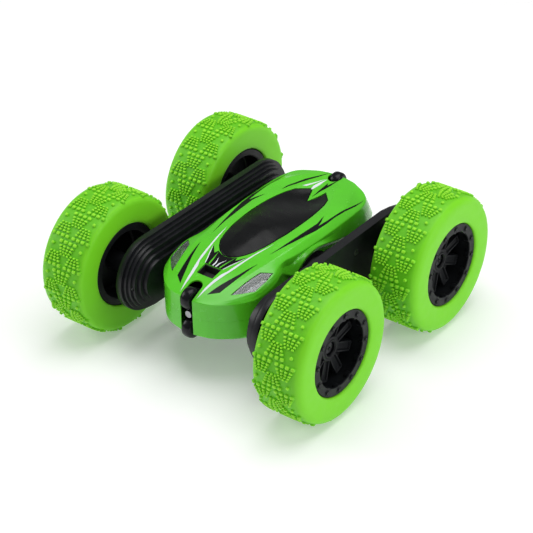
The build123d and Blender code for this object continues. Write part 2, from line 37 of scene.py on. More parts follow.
MM = 0.001
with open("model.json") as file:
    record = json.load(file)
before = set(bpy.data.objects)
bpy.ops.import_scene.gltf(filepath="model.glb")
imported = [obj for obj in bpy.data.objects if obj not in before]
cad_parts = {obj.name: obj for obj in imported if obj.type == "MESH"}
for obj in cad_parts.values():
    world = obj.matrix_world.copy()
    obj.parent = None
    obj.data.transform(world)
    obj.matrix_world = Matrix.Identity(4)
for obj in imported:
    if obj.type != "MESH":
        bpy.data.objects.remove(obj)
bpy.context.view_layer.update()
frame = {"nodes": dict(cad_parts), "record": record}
WHEEL_LOW, WHEEL_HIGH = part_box("left_front_tyre")
AXLE_Z = (WHEEL_LOW.z + WHEEL_HIGH.z) / 2 / MM
WHEEL_X = (WHEEL_LOW.x + WHEEL_HIGH.x) / 2 / MM
WHEEL_Y = (WHEEL_LOW.y + WHEEL_HIGH.y) / 2 / MM


# ---- materials
def set_inputs(node, values):
    """Sets a node's inputs, and links those whose value is another node's output."""
    for name, value in values.items():
        if isinstance(value, bpy.types.NodeSocket):
            node.id_data.links.new(value, node.inputs[name])
        else:
            node.inputs[name].default_value = value


def new_node(tree, kind, values, **settings):
    node = tree.nodes.new("ShaderNode" + kind)
    for name, setting in settings.items():
        setattr(node, name, setting)
    set_inputs(node, values)
    return node


def principled(name, colour, roughness):
    """A new material with its shader, node tree and object coordinates."""
    material = bpy.data.materials.new(name)
    material.use_nodes = True
    tree = material.node_tree
    shader = tree.nodes["Principled BSDF"]
    set_inputs(shader, {"Base Color": (*colour, 1), "Roughness": roughness})
    return material, tree, shader, new_node(tree, "TexCoord", {}).outputs["Object"]


def noise(tree, place, size, detail=4.0, rough=0.6):
    """Noise whose blotches are about size metres across."""
    values = {"Vector": place, "Scale": 1 / size, "Detail": detail, "Roughness": rough}
    return new_node(tree, "TexNoise", values).outputs["Fac"]


def remap(tree, value, low, high, start=0.3, stop=0.7):
    """A value from start to stop, stretched to run from low to high."""
    values = {"Value": value, "From Min": start, "From Max": stop, "To Min": low, "To Max": high}
    return new_node(tree, "MapRange", values).outputs["Result"]


def mixed(tree, share, first, second):
    """A colour on its way from the first to the second."""
    values = {"Factor": share, "A": first, "B": second}
    return new_node(tree, "Mix", values, data_type="RGBA").outputs["Result"]


def tint(tree, shader, share, colour, darker, lighter):
    """A base colour that drifts between two shades of it."""
    dark, light = ((*(min(1.0, channel * factor) for channel in colour), 1) for factor in (darker, lighter))
    set_inputs(shader, {"Base Color": mixed(tree, share, dark, light)})


def bump(tree, shader, heights, strength, distance):
    """Surface relief, distance in metres."""
    values = {"Height": heights, "Strength": strength, "Distance": distance}
    set_inputs(shader, {"Normal": new_node(tree, "Bump", values).outputs["Normal"]})


def moulded(name, colour, roughness, spread, grain, depth, drift=0.06, coat=0.0, shine=0.5):
    """Moulded plastic or rubber: grain metres across and depth metres deep, with uneven gloss."""
    material, tree, shader, place = principled(name, colour, roughness)
    tint(tree, shader, remap(tree, noise(tree, place, 0.012, 3.0), 0, 1), colour, 1 - drift, 1 + drift)
    bump(tree, shader, noise(tree, place, grain, 5.0), 0.5, depth)
    gloss = remap(tree, noise(tree, place, 0.004, 5.0), roughness - spread, roughness + spread)
    set_inputs(shader, {"Roughness": gloss, "Specular IOR Level": shine, "Coat Weight": coat,
                        "Coat Roughness": 0.12})
    return material


RUBBER_RADII = (30.0, 32.5)    # from below the tread to the tops of the studs
RUBBER_GREEN = (0.19, 0.66, 0.014)
# Its colour at shares of that way: painted shade makes it deeper beside the studs, and painted light makes
# it paler on their tops.
RUBBER_PAINTED_LIGHT_STOPS = ((0.0, RUBBER_GREEN), (0.35, RUBBER_GREEN), (0.6, (0.13, 0.53, 0.012)),
                 (0.96, (0.34, 0.84, 0.03)))


def rubber():
    """Green rubber whose colour changes with the distance from the axle: painted shade between the studs,
    painted light on their tops.
    """
    material = moulded("tyre_green", RUBBER_GREEN, 0.5, 0.07, 0.0005, 0.00003, 0.05, 0.0, 0.3)
    tree = material.node_tree
    shader = tree.nodes["Principled BSDF"]
    place = new_node(tree, "TexCoord", {}).outputs["Object"]
    flat = new_node(tree, "VectorMath", {0: place, 1: (1, 0, 1)}, operation="MULTIPLY").outputs["Vector"]
    radius = new_node(tree, "VectorMath", {0: flat}, operation="LENGTH").outputs["Value"]
    share = remap(tree, radius, 0, 1, *(r * MM for r in RUBBER_RADII))
    # The ramp paints shade beside the studs and light on their tops.
    ramp = new_node(tree, "ValToRGB", {"Fac": share})
    while len(ramp.color_ramp.elements) < len(RUBBER_PAINTED_LIGHT_STOPS):
        ramp.color_ramp.elements.new(0.5)
    for element, (position, colour) in zip(ramp.color_ramp.elements, RUBBER_PAINTED_LIGHT_STOPS):
        element.position = position
        element.color = (*colour, 1)
    drifting = shader.inputs["Base Color"].links[0].from_socket
    set_inputs(shader, {"Base Color": mixed(tree, 0.85, drifting, ramp.outputs["Color"])})
    return material


def metal(name, colour, roughness, stretch):
    """Metal with fine marks drawn out along the axis whose stretch is small."""
    material, tree, shader, place = principled(name, colour, roughness)
    stretched = new_node(tree, "Mapping", {"Vector": place, "Scale": stretch}).outputs["Vector"]
    marks = noise(tree, stretched, 0.0006, 6.0)
    gloss = remap(tree, marks, roughness - 0.08, roughness + 0.12)
    set_inputs(shader, {"Metallic": 1.0, "Roughness": gloss})
    tint(tree, shader, remap(tree, marks, 0, 1), colour, 0.85, 1.1)
    bump(tree, shader, marks, 0.3, 0.00002)
    return material


def clear_glass():
    """The headlight covers' plastic."""
    material, tree, shader, place = principled("clear_lens", (0.93, 0.96, 0.95), 0.05)
    gloss = remap(tree, noise(tree, place, 0.003), 0.03, 0.12)
    set_inputs(shader, {"Transmission Weight": 1.0, "IOR": 1.45, "Roughness": gloss})
    return material


def board_material():
    """Lacquer with copper tracks under it."""
    material, tree, shader, place = principled("circuit_lacquer", (0.02, 0.16, 0.06), 0.3)
    brick = new_node(tree, "TexBrick", {
        "Vector": place, "Scale": 260.0, "Mortar Size": 0.05, "Mortar": (0.05, 0.32, 0.13, 1),
        "Color1": (0.015, 0.15, 0.05, 1), "Color2": (0.02, 0.19, 0.07, 1)})
    set_inputs(shader, {"Base Color": brick.outputs["Color"]})
    bump(tree, shader, brick.outputs["Fac"], 0.4, 0.00004)
    return material


# Colour, roughness and its spread, size and depth of the grain in metres, then drift, coat and shine.
MOULDED = {
    "body_green": ((0.1, 0.6, 0.018), 0.24, 0.05, 0.0009, 0.000012, 0.05, 0.2, 0.4),
    "canopy_black": ((0.004, 0.0045, 0.005), 0.3, 0.05, 0.0007, 0.00001, 0.2, 0.0, 0.16),
    "rim_black": ((0.006, 0.007, 0.008), 0.45, 0.08, 0.0005, 0.00003, 0.2, 0.0, 0.2),
    "arm_black": ((0.007, 0.0075, 0.0095), 0.36, 0.08, 0.0006, 0.00002, 0.2, 0.0, 0.35),
    "chassis_plastic": ((0.008, 0.008, 0.009), 0.5, 0.08, 0.0005, 0.00003, 0.2),
    "bumper_black": ((0.004, 0.004, 0.006), 0.24, 0.06, 0.0006, 0.00002, 0.2, 0.0, 0.25),
    "lamp_white": ((0.8, 0.84, 0.88), 0.25, 0.04, 0.0006, 0.00001, 0.02),
    "gear_nylon": ((0.78, 0.76, 0.68), 0.42, 0.06, 0.0006, 0.00002, 0.03),
    "battery_wrap": ((0.02, 0.08, 0.34), 0.22, 0.05, 0.0012, 0.00003, 0.08),
    "switch_black": ((0.02, 0.02, 0.022), 0.45, 0.06, 0.0005, 0.00003, 0.1),
}
# Colour, roughness and the stretch of the marks.
METALS = {
    "screw_steel": ((0.36, 0.36, 0.38), 0.32, (1, 1, 1)),
    "shaft_steel": ((0.6, 0.61, 0.63), 0.24, (1, 0.05, 1)),
    "pinion_brass": ((0.78, 0.57, 0.22), 0.3, (1, 0.1, 1)),
    "motor_steel": ((0.58, 0.59, 0.6), 0.32, (1, 0.1, 1)),
}
MATERIALS = {slot: moulded(slot, *look) for slot, look in MOULDED.items()}
MATERIALS.update({slot: metal(slot, *look) for slot, look in METALS.items()})
MATERIALS["tyre_green"] = rubber()
MATERIALS["lens_clear"] = clear_glass()
MATERIALS["board_green"] = board_material()
REFLECTOR = moulded("lamp_reflector", (0.16, 0.17, 0.18), 0.25, 0.08, 0.002, 0.0001, 0.35, 0.3)
# Painted shade: a darker steel for the hub screws, standing in for the shade of their recess.
HUB_SCREW_PAINTED_SHADE = metal("dark_screw", (0.05, 0.05, 0.055), 0.35, (1, 1, 1))


# ---- mesh helpers
def at(x, y, h):
    """A point of the car in metres."""
    return Vector((x, y, AXLE_Z + h)) * MM


def mesh_of(name, points, faces):
    """A mesh in metres."""
    mesh = bpy.data.meshes.new(name)
    mesh.from_pydata([tuple(point) for point in points], [], faces)
    mesh.validate()
    return mesh


def soften(mesh, angle=35.0):
    """Smooth shading, with edges over the angle kept sharp."""
    made = bmesh.new()
    made.from_mesh(mesh)
    bmesh.ops.recalc_face_normals(made, faces=made.faces)
    for face in made.faces:
        face.smooth = True
    for edge in made.edges:
        edge.smooth = len(edge.link_faces) == 2 and edge.calc_face_angle() < math.radians(angle)
    made.to_mesh(mesh)
    made.free()


def new_object(name, data):
    """An object of the scene, from its mesh, camera or light."""
    made = bpy.data.objects.new(name, data)
    bpy.context.scene.collection.objects.link(made)
    return made


def smooth_object(name, points, faces, angle=35.0):
    mesh = mesh_of(name, points, faces)
    soften(mesh, angle)
    return new_object(name, mesh)


def apply_modifiers(made):
    """Bakes an object's modifiers into its mesh."""
    graph = bpy.context.evaluated_depsgraph_get()
    mesh = bpy.data.meshes.new_from_object(made.evaluated_get(graph))
    made.modifiers.clear()
    made.data = mesh


def finish_piece(made, slot, body, *nodes, material=None):
    """Gives a piece its material, the slot's own unless another is given, and the body it rides on."""
    made.data.materials.clear()
    made.data.materials.append(material or MATERIALS[slot])
    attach(made, body)
    if nodes:
        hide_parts(*nodes)


def bevel(made, width, segments=2, angle=35.0):
    """Rounds the edges that are sharper than the angle."""
    modifier = made.modifiers.new("bevel", "BEVEL")
    modifier.width = width * MM
    modifier.segments = segments
    modifier.limit_method = "ANGLE"
    modifier.angle_limit = math.radians(angle)
    modifier.harden_normals = False
    apply_modifiers(made)


def cut(made, tool):
    """Cuts the tool out of an object, after which the tool is gone."""
    modifier = made.modifiers.new("cut", "BOOLEAN")
    modifier.operation = "DIFFERENCE"
    modifier.solver = "EXACT"
    modifier.object = tool
    apply_modifiers(made)
    bpy.data.objects.remove(tool)


def band(low, high, count):
    """Quads between two closed rings of count points, which start at the points low and high."""
    return [(low + i, low + (i + 1) % count, high + (i + 1) % count, high + i) for i in range(count)]


def revolved(profile, steps):
    """Points and faces of a closed profile of (y, r), turned about the y axis."""
    points = []
    for step in range(steps):
        angle = 2 * math.pi * step / steps
        points += [(r * math.cos(angle), y, r * math.sin(angle)) for y, r in profile]
    count = len(profile)
    faces = []
    for step in range(steps):
        faces += band(step * count, (step + 1) % steps * count, count)
    return points, faces


def disc_solid(profile, steps):
    """Points and faces of a solid whose profile of (y, r) starts and ends on the axis."""
    points, faces = revolved(profile[1:-1], steps)
    count = len(profile) - 2
    faces = [face for i, face in enumerate(faces) if i % count != count - 1]
    faces.append(tuple(step * count for step in range(steps)))
    faces.append(tuple(step * count + count - 1 for step in range(steps))[::-1])
    return points, faces


def add_part(whole, points, faces):
    """Adds separate geometry to a (points, faces) pair."""
    start = len(whole[0])
    whole[0].extend(points)
    whole[1].extend(tuple(start + i for i in face) for face in faces)


def cut_upright(made, outline, low, high, side=1):
    """Cuts away an upright prism on an outline of (x, y), from height low to high."""
    points = [at(x, side * y, h) for h in (low, high) for x, y in outline]
    cut(made, closed_prism("tool", points, len(outline)))


def slab_object(name, outline, low, high):
    """A prism across the car on an outline of (x, h), from y = low to y = high."""
    points = [at(x, y, h) for y in (low, high) for x, h in outline]
    return closed_prism(name, points, len(outline))


def closed_prism(name, points, count):
    """A prism from the points of its two ends, count in each."""
    ends = [tuple(range(count)), tuple(range(count, 2 * count))[::-1]]
    return smooth_object(name, points, ends + band(0, count, count))


def circle(x, y, radius, count=48):
    turns = [2 * math.pi * i / count for i in range(count)]
    return [(x + radius * math.cos(turn), y + radius * math.sin(turn)) for turn in turns]


# ---- tyres
TREAD_REPEATS = 15
TREAD_MIDDLE = -1.0      # the tread sits a little nearer the arm than the tyre's own middle
SIDE_FAN = 5.65          # from the tread's middle to the middle of a side fan
SIDE_START = 19.5        # degrees from a middle fan's wide end to a side fan's
DOT_OUT, DOT_START, DOT_SIZE = 7.9, 3.4, 1.5
STUD_TALL = 0.95
# The tyre's section, (across from its middle, radius), from the tread's middle to the rim opening.
TREAD_OUT = [(0, 31.5), (4, 31.5), (7.4, 31.45), (9.2, 31.2), (10.4, 30.7), (11.2, 30.0)]
TREAD_IN = [(0, 31.5), (4, 31.5), (9.0, 31.45), (10.6, 31.1), (11.4, 30.5), (11.85, 29.6)]
SIDEWALL = [(12.0, 26.2), (11.93, 23.4), (11.8, 21.0), (11.6, 20.0), (11.2, 19.55), (10.5, 19.36),
            (9.2, 19.32)]
OUTER_SECTION = TREAD_OUT + [(11.75, 29.0), (11.97, 27.8)] + SIDEWALL
INNER_SECTION = TREAD_IN[1:] + [(12.0, 28.2)] + SIDEWALL
# Rows of a fan from its wide end: (degrees from that end, studs, their pitch, width and length).
FAN_ROWS = [(0.0, 4, 2.6, 1.9, 1.6), (3.45, 4, 2.15, 1.6, 1.0), (5.75, 4, 1.85, 1.36, 0.96),
            (7.95, 4, 1.54, 1.14, 0.92), (10.05, 3, 1.8, 1.2, 0.9)]


def tread_radius(y):
    """The tyre's outer radius at a distance from its middle."""
    section = TREAD_OUT if y > 0 else TREAD_IN
    return float(np.interp(abs(y), [point[0] for point in section], [point[1] for point in section]))


def stud(angle, y, wide, long, corner):
    """A stud with sloping sides and a flat top: corner is 0 for square and 1 for round."""
    turn = math.radians(angle)
    tilt = math.atan(tread_radius(y - 0.5) - tread_radius(y + 0.5))
    out = Vector((math.cos(turn) * math.cos(tilt), math.sin(tilt), math.sin(turn) * math.cos(tilt)))
    along = Vector((-math.sin(turn), 0, math.cos(turn)))
    across = out.cross(along)
    radius = tread_radius(y)
    centre = Vector((radius * math.cos(turn), y, radius * math.sin(turn)))
    clip = 0.62 - 0.2 * corner
    ring = [(1, clip), (clip, 1), (-clip, 1), (-1, clip), (-1, -clip), (-clip, -1), (clip, -1), (1, -clip)]
    levels = ((-0.3, 1.0), (0.35, 0.97), (0.78, 0.84), (STUD_TALL, 0.6))
    points = [centre + out * rise + across * (wide / 2 * share * a) + along * (long / 2 * share * b)
              for rise, share in levels for a, b in ring]
    count = len(ring)
    last = len(levels) - 1
    faces = [quad for k in range(last) for quad in band(k * count, (k + 1) * count, count)]
    faces += [tuple(range(count))[::-1], tuple(range(last * count, (last + 1) * count))]
    return points, faces


def fan(wide_end, way, y):
    """Studs of a fan whose rows run from its wide end, in degrees, in the direction way."""
    return [(wide_end + way * step, y + pitch * (i - (count - 1) / 2), wide, long, 0.0)
            for step, count, pitch, wide, long in FAN_ROWS for i in range(count)]


def tread_studs():
    """Every stud of the tread. The middle fans point one way and the side fans the other."""
    studs = []
    repeat = 360 / TREAD_REPEATS
    for k in range(TREAD_REPEATS):
        start = repeat * k
        studs += fan(start, 1, TREAD_MIDDLE)
        for side in (1, -1):
            studs += fan(start + SIDE_START, -1, TREAD_MIDDLE + side * SIDE_FAN)
            studs.append((start + DOT_START, TREAD_MIDDLE + side * DOT_OUT, DOT_SIZE, DOT_SIZE, 1.0))
    return studs


def tyre_mesh():
    loop = OUTER_SECTION + [(-y, r) for y, r in reversed(INNER_SECTION)]
    whole = revolved(loop, 180)
    for place in tread_studs():
        add_part(whole, *stud(*place))
    mesh = mesh_of("tyre", [Vector(point) * MM for point in whole[0]], whole[1])
    soften(mesh, 50)
    return mesh


# ---- rims
RING_FACE = 10.8         # outer face of the rim's ring, from the tyre's middle
RIM_BOLTS, FIRST_BOLT = 12, 7.0
SPOKES = 8
SPOKE_DEPTH = 0.9        # of the channel
SPOKE_FLOOR = 0.2        # across, where spokes meet the web
TYRE_PHASE = {"left_front": 20.0, "left_rear": 9.0, "right_front": 21.7, "right_rear": 12.0}
RIM_PHASE = {"left_front": 0.0, "left_rear": 2.0, "right_front": 10.0, "right_rear": 20.0}


def rim_shell():
    """Barrel, ring, web and hub, in one turned solid."""
    face = RING_FACE
    profile = [(face - 0.25, 15.2), (face, 15.45), (face, 18.85), (face - 0.3, 19.2), (9.0, 19.2),
               (8.4, 18.9), (8.4, 17.9), (-8.4, 17.9), (-8.4, 18.9), (-9.0, 19.2), (-10.6, 19.2),
               (-11.0, 18.8), (-11.0, 16.3), (-10.5, 15.8), (-2.2, 15.3), (-1.5, 14.6), (-1.5, 5.2),
               (-2.0, 4.4), (-12.6, 4.2), (-12.8, 4.0), (-12.8, 1.55), (3.0, 1.55), (3.0, 2.95),
               (4.9, 2.95), (5.15, 3.15), (5.4, 3.4), (5.4, 4.0), (5.1, 4.25), (5.1, 5.3), (4.8, 5.6),
               (0.5, 5.9), (0.5, 15.6), (1.0, 16.1), (face - 1.4, 16.1), (face - 1.0, 15.7),
               (face - 1.0, 15.35)]
    return revolved(profile, 144)


def rim_bolt(angle):
    """An ear on the ring with a hexagonal bolt head in a ringed seat."""
    turn = Matrix.Rotation(math.radians(-angle), 4, "Y")
    face = RING_FACE
    ear = disc_solid([(8.2, 0), (8.2, 1.9), (face - 0.2, 1.9), (face + 0.02, 1.7), (face + 0.02, 0)], 24)
    seat = revolved([(face - 0.1, 1.5), (face + 0.22, 1.4), (face + 0.22, 1.2), (face - 0.1, 1.15)], 24)
    head = disc_solid([(face - 0.3, 0), (face - 0.3, 0.92), (face + 0.38, 0.92), (face + 0.5, 0.75),
                       (face + 0.5, 0)], 6)
    whole = ([], [])
    for (points, faces), radius in ((ear, 16.75), (seat, 17.1), (head, 17.1)):
        add_part(whole, [turn @ (Vector(point) + Vector((radius, 0, 0))) for point in points], faces)
    return whole


def spoke_turn(index):
    return math.radians(-360 / SPOKES * index - 180 / SPOKES)


def spoke(index):
    """A dished spoke whose raised border runs round a sunk channel."""
    shape = bmesh.new()
    inner, outer = 4.0, 14.8
    half_in, half_out = 2.1, 2.45
    top_in, top_out = 4.7, 5.7
    half = [(inner, half_in, top_in), (outer - 0.7, half_out, top_out), (outer, half_out - 0.7, top_out)]
    corners = half + [(x, -z, y) for x, z, y in reversed(half)]
    top = [shape.verts.new((x, y, z)) for x, z, y in corners]
    bottom = [shape.verts.new((x, SPOKE_FLOOR, z)) for x, z, y in corners]
    lid = shape.faces.new(top)
    shape.faces.new(bottom[::-1])
    for i in range(6):
        shape.faces.new((top[i - 1], bottom[i - 1], bottom[i], top[i]))
    bmesh.ops.recalc_face_normals(shape, faces=shape.faces)
    bmesh.ops.inset_region(shape, faces=[lid], thickness=0.85, depth=0.0)
    bmesh.ops.inset_region(shape, faces=[lid], thickness=0.15, depth=-SPOKE_DEPTH)
    bmesh.ops.rotate(shape, matrix=Matrix.Rotation(spoke_turn(index), 3, "Y"), verts=shape.verts)
    points = [tuple(v.co) for v in shape.verts]
    shape.verts.index_update()
    faces = [tuple(v.index for v in face.verts) for face in shape.faces]
    shape.free()
    return points, faces


def spoke_root(index):
    """The low foot that joins a spoke to the barrel."""
    turn = Matrix.Rotation(spoke_turn(index), 4, "Y")
    corners = [(13.4, 1.7), (16.4, 2.1), (16.4, -2.1), (13.4, -1.7)]
    points = [turn @ Vector((x, y, z)) for y in (SPOKE_FLOOR, 3.4) for x, z in corners]
    return points, [(0, 1, 2, 3), (7, 6, 5, 4)] + band(0, 4, 4)


def rim_mesh():
    whole = rim_shell()
    for index in range(SPOKES):
        add_part(whole, *spoke(index))
        add_part(whole, *spoke_root(index))
    for index in range(RIM_BOLTS):
        add_part(whole, *rim_bolt(360 / RIM_BOLTS * index + FIRST_BOLT))
    made = smooth_object("rim_draft", [Vector(point) * MM for point in whole[0]], whole[1], 30)
    bevel(made, 0.16, 2, 50)
    mesh = made.data
    soften(mesh, 35)
    bpy.data.objects.remove(made)
    return mesh


def wheels():
    """The same tyre and rim on all four wheels, each turned to its own place."""
    tyre, rim = tyre_mesh(), rim_mesh()
    for side, way in (("left", 1), ("right", -1)):
        for end, x in (("front", WHEEL_X), ("rear", -WHEEL_X)):
            corner = side + "_" + end
            facing = Matrix.Rotation(0 if way > 0 else math.pi, 4, "Z")
            for part, mesh, phase in (("tyre", tyre, TYRE_PHASE[corner]), ("rim", rim, RIM_PHASE[corner])):
                turned = mesh.copy()
                turned.transform(facing @ Matrix.Rotation(math.radians(-phase), 4, "Y"))
                made = new_object(f"{corner}_{part}_detailed", turned)
                made.matrix_world = Matrix.Translation(at(x, way * WHEEL_Y, 0))
                slot = "tyre_green" if part == "tyre" else "rim_black"
                finish_piece(made, slot, corner + "_wheel", f"{corner}_{part}")


# ---- shells
# Feature lines of the upper shell's left half, nose to tail, as (x, y, h). Each has a point in each row.
CENTRE = [(57.4, 0, 8.5), (54.6, 0, 9.9), (50, 0, 11.7), (45, 0, 13.2), (40, 0, 14.3), (34.5, 0, 14.9),
          (29, 0, 15.1), (23, 0, 15.6), (17, 0, 16.0), (13, 0, 16.2), (9.5, 0, 16.4), (6, 0, 16.5),
          (2.5, 0, 16.6), (-3, 0, 16.5), (-12, 0, 15.8), (-21, 0, 14.6), (-31, 0, 14.5), (-40, 0, 15.4),
          (-47, 0, 16.6), (-53.2, 0, 17.1), (-57.5, 0, 5)]
SPINE = [(57.2, 3.3, 8.5), (54.6, 4.3, 9.8), (50, 5.3, 11.8), (45, 6.3, 13.4), (40, 7.2, 14.6),
         (34.5, 8.4, 15.6), (29, 9.7, 16.4), (23, 11.2, 17.1), (17, 12.6, 17.4), (13, 13.2, 17.6),
         (9.5, 13.5, 17.8), (6, 13.7, 17.8), (2.5, 13.8, 17.8), (-3, 13.8, 17.9), (-12, 13.7, 17.9),
         (-21, 13.2, 17.8), (-31, 11.3, 17.4), (-40, 7.5, 17.2), (-47, 4.8, 17.3), (-53.1, 2.6, 17.1),
         (-57.4, 3.3, 5)]
CREASE = [(56.6, 6.5, 8.5), (53.8, 8.9, 9.4), (49.8, 11.6, 10.9), (45.3, 13.9, 12.3), (40, 15.5, 13.7),
          (34.8, 16.8, 15), (29.5, 17.7, 15.9), (23, 18.6, 16.2), (17, 19.2, 16.4), (13, 19.8, 16.6),
          (9.5, 20.3, 16.8), (6, 20.6, 16.9), (2.5, 20.8, 17.1), (-3, 21, 17.2), (-12, 21.2, 17.3),
          (-21, 20.6, 17.5), (-31, 19.4, 17.6), (-40.5, 15.5, 17.5), (-47, 10.8, 17.4), (-52.7, 5.4, 17.1),
          (-57.1, 6.6, 5)]
SHOULDER = [(55.7, 9.8, 8.5), (52.8, 13.2, 9.1), (48.6, 17.3, 10), (43.9, 20.6, 10.7), (39.6, 23.2, 11.3),
            (33.5, 24, 12.7), (27.6, 24, 13.9), (22.5, 22.4, 14.7), (17.3, 21.9, 14.9), (13, 22.4, 14.7),
            (9.5, 22.8, 14.5), (6, 23.1, 14.5), (2, 23.2, 14.4), (-4, 23.5, 14.4), (-12, 24, 14.8),
            (-21, 24, 15), (-31, 24, 15.2), (-41.5, 22.8, 15.4), (-47.2, 18.4, 16.6), (-51.8, 9.6, 17),
            (-56.5, 9.9, 5)]
HOLLOW = [(55.1, 11.2, 8.5), (52.3, 14.8, 8.9), (47.8, 19.1, 9.4), (43, 22.4, 9.8), (38.8, 24.3, 10.3),
          (33.3, 25, 11.4), (27.8, 24.9, 12.6), (22.4, 23.4, 12.9), (16.6, 21.5, 11.6), (14.3, 22, 11),
          (10.8, 22.4, 11.8), (8, 22.6, 12.7), (3.8, 22.9, 13.6), (-2.8, 23.2, 13.7), (-10.5, 23.8, 13),
          (-21, 24.2, 12.5), (-31.3, 24.3, 12), (-42.5, 23.5, 11.5), (-49.1, 19.6, 11.2),
          (-53.4, 12.9, 11.2), (-56.2, 11.5, 5)]
LIP = [(54.7, 12, 8.5), (51.95, 15.65, 8.7), (47.3, 20.05, 8.95), (42.5, 23.2, 9.25), (38.4, 24.7, 9.65),
       (33.15, 25.35, 10.6), (27.9, 25.25, 11.8), (22.45, 23.7, 12.25), (17.2, 22.2, 10.2),
       (13.4, 23.2, 9), (10.3, 23.5, 11), (8.2, 23.5, 12.5), (4.4, 23.6, 13.9), (-1.5, 23.9, 13.9),
       (-9, 24.2, 12.4), (-21, 24.35, 10.35), (-31.65, 24.4, 9.35), (-42.75, 23.65, 8.55),
       (-50.05, 20.1, 8.15), (-54.15, 14.35, 8.1), (-56, 12.25, 5)]
RIM = [(54.3, 12.8, 8.5), (51.6, 16.5, 8.5), (46.8, 21, 8.5), (42, 24, 8.7), (38, 25.1, 9),
       (33, 25.7, 9.8), (28, 25.6, 11), (22.5, 24, 11.6), (17.8, 22.9, 8.8), (13.2, 24.3, 6.4),
       (10.6, 24.6, 8.6), (8.3, 24.8, 10.4), (4.6, 24.9, 12.1), (-1.9, 25, 13), (-9, 24.9, 11.6),
       (-21, 24.5, 8.2), (-32, 24.5, 6.7), (-43, 23.8, 5.6), (-51, 20.6, 5.1), (-54.9, 15.8, 5),
       (-55.8, 13, 5)]
LINES = (CENTRE, SPINE, CREASE, SHOULDER, HOLLOW, LIP, RIM)
ROUNDS = (0.0, 0.7, 0.6, 0.6, 0.4, 0.4, 0.5)  # how far the rounding of each line reaches to either side
TAIL_ROW = 19            # the last point on the top: the one after it is at the foot of the rear wall
ROW_STEPS = 4
WALL_STEP = 0.9          # how far the wall stands in below the rim
WALL_STEP_X = (14.0, 20.0)  # the step is full behind the first and nothing in front of the second
PARTING = 0.02           # height of the line where the two shells meet
WELD_DISTANCE = 0.02


def spline_rows(points, steps):
    """A Catmull-Rom curve through the points, with steps spans between each two."""
    marks = [Vector(point) for point in points]
    ends = [marks[0] * 2 - marks[1]] + marks + [marks[-1] * 2 - marks[-2]]
    made = []
    for i in range(1, len(ends) - 2):
        p0, p1, p2, p3 = ends[i - 1:i + 3]
        for step in range(steps):
            t = step / steps
            made.append(0.5 * ((2 * p1) + (p2 - p0) * t + (2 * p0 - 5 * p1 + 4 * p2 - p3) * t * t
                               + (3 * p1 - p0 - 3 * p2 + p3) * t ** 3))
    return made + [marks[-1]]


def line_rows(points):
    """A feature line at every row of the cage: curved to the tail's edge, then down its rear wall."""
    rows = spline_rows(points[:TAIL_ROW + 1], ROW_STEPS)
    edge, low = Vector(points[TAIL_ROW]), Vector(points[TAIL_ROW + 1])
    front_in = rows[0].lerp(rows[1], 0.45)
    tail_in = rows[-1].lerp(rows[-2], 0.4)
    drop = min(0.45, 0.7 / max((low - edge).length, 0.01))
    down = [edge.lerp(low, share) for share in (drop, 0.5, 1 - drop, 1.0)]
    return [rows[0], front_in] + rows[1:-1] + [tail_in, rows[-1]] + down


def cage_row(marks):
    """Points across one row, from the centre to the rim, with support points beside each line."""
    points = [marks[0]]
    for k in range(1, len(marks)):
        start, stop = marks[k - 1], marks[k]
        long = max((stop - start).length, 0.01)
        near = min(0.3, ROUNDS[k - 1] / long)
        far = 1 - min(0.3, ROUNDS[k] / long)
        if k > 1:
            points.append(start.lerp(stop, near))
        points += [start.lerp(stop, (near + far) / 2), start.lerp(stop, far), stop]
    return points


def step_in(x):
    """How far the wall stands in below the rim: nothing at the nose, a small step behind it."""
    low, high = WALL_STEP_X
    return WALL_STEP * min(1.0, max(0.0, (high - x) / (high - low)))


def wall_points(loop):
    """Rings of points down from the rim to the parting line."""
    rings = []
    for share, drop in ((0.15, 0.8), (1.0, 1.5), (1.0, None)):
        ring = []
        for i, point in enumerate(loop):
            before, after = loop[max(i - 1, 0)], loop[min(i + 1, len(loop) - 1)]
            along = Vector((after.x - before.x, after.y - before.y, 0)).normalized()
            inward = Vector((-along.y, along.x, 0))
            if inward.dot(Vector((-point.x * 0.3, -point.y, 0))) < 0:
                inward = -inward
            moved = point + inward * (step_in(point.x) * share)
            if i in (0, len(loop) - 1):
                moved.y = 0.0
            height = PARTING if drop is None else point.z - min(drop, point.z * 0.6)
            ring.append(Vector((moved.x, moved.y, height)))
        rings.append(ring)
    upper, step, parting = rings
    return [upper, step, [a.lerp(b, 0.5) for a, b in zip(step, parting)], parting]


def shell_cage():
    """The outer skin of the upper shell as a mirrored cage."""
    lines = [line_rows(line) for line in LINES]
    rows = [cage_row([line[r] for line in lines]) for r in range(len(lines[0]))]
    count = len(rows[0])
    points = [point for row in rows for point in row]
    faces = [(r * count + c, r * count + c + 1, (r + 1) * count + c + 1, (r + 1) * count + c)
             for r in range(len(rows) - 1) for c in range(count - 1)]
    top = list(range(count)) + [r * count + count - 1 for r in range(1, len(rows))]
    top += [(len(rows) - 1) * count + c for c in range(count - 2, -1, -1)]
    above = top
    for ring in wall_points([points[i] for i in top]):
        start = len(points)
        points += ring
        below = list(range(start, start + len(ring)))
        faces += [(above[i], below[i], below[i + 1], above[i + 1]) for i in range(len(ring) - 1)]
        above = below
    right = [Vector((p.x, -p.y, p.z)) for p in points]
    size = len(points)
    faces += [tuple(size + i for i in face)[::-1] for face in faces]
    return points + right, faces


